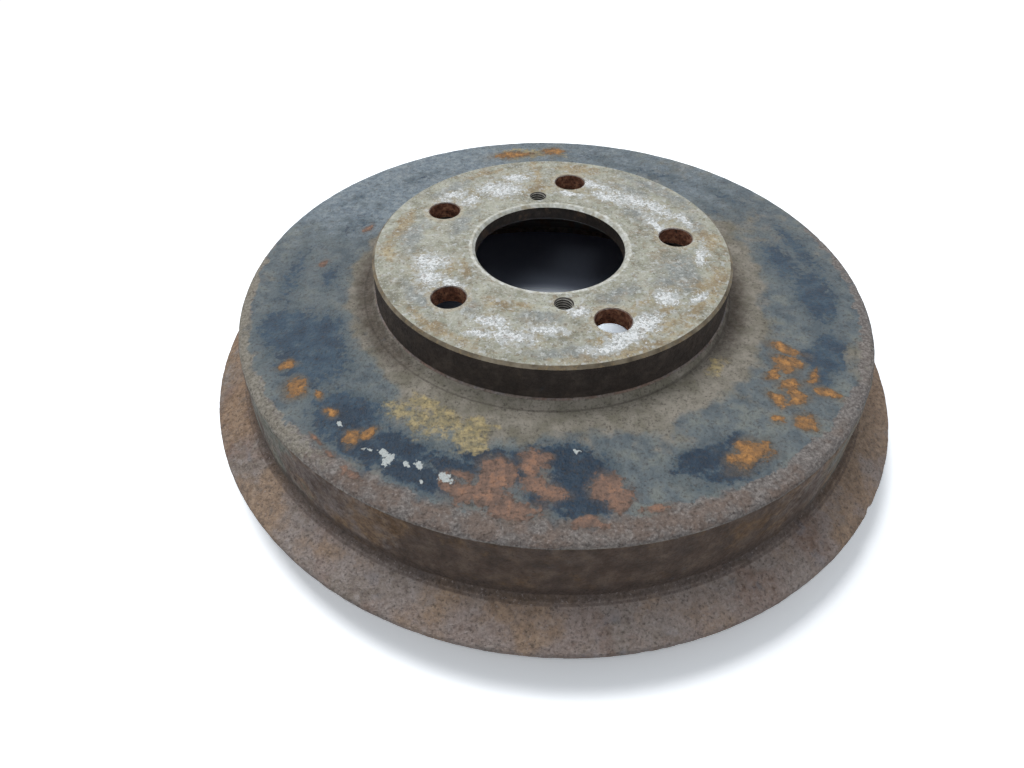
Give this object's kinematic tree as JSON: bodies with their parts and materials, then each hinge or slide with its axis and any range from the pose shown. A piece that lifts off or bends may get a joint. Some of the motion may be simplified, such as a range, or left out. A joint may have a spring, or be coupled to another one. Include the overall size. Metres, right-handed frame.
{
  "type": "brake drum",
  "caption": "rear brake drum cast in one piece, with a raised hub plate, a pilot bore, wheel stud holes, threaded jacking holes, a friction ring and a flared brim",
  "frame": {"origin": "centre of the drum's open end, in the plane that the drum stands on", "axes": "+Z along the spin axis, from the open end to the hub face that the wheel bolts against; +X through one of the stud holes"},
  "size_m": [0.3212, 0.3212, 0.076],
  "materials": {
    "iron": "rusted casting with worn paint on the web and a turned hub face"
  },
  "bodies": {
    "root": {"brake_drum": "iron"}
  },
  "joints": []
}
